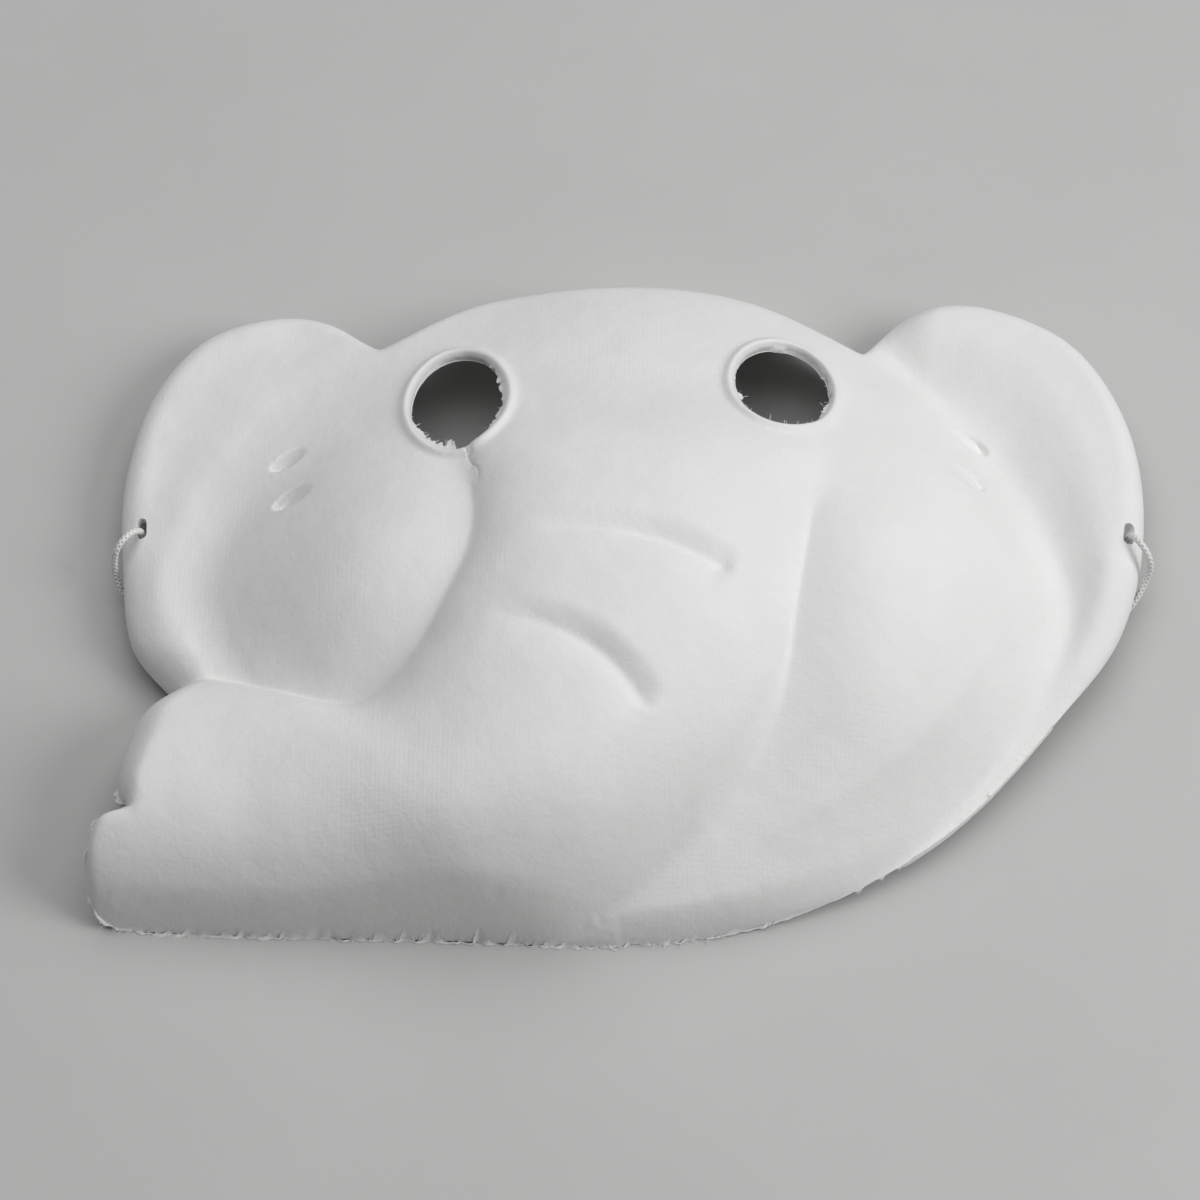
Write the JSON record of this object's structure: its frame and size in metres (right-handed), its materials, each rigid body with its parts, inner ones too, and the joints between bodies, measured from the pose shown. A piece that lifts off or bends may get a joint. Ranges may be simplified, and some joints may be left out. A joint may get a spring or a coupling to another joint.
{
  "type": "blank face mask",
  "caption": "Blank white moulded pulp mask in the form of an elephant's face with round ears and a trunk laid to one side, hollow behind, with a thin elastic to hold it on the head.",
  "frame": {"origin": "middle of the shell's footprint, on the surface that the rim rests on", "axes": "+Z out of the face, +Y to the top of the head, +X to the right of someone who looks at the face"},
  "size_m": [0.2408, 0.1718, 0.0496],
  "materials": {
    "pulp": "matte white moulded paper pulp with a faint screen texture and a ragged edge",
    "elastic": "white covered elastic thread"
  },
  "bodies": {
    "root": {"mask_shell": "pulp", "elastic_cord": "elastic", "knot_left": "elastic", "knot_right": "elastic"}
  },
  "joints": []
}
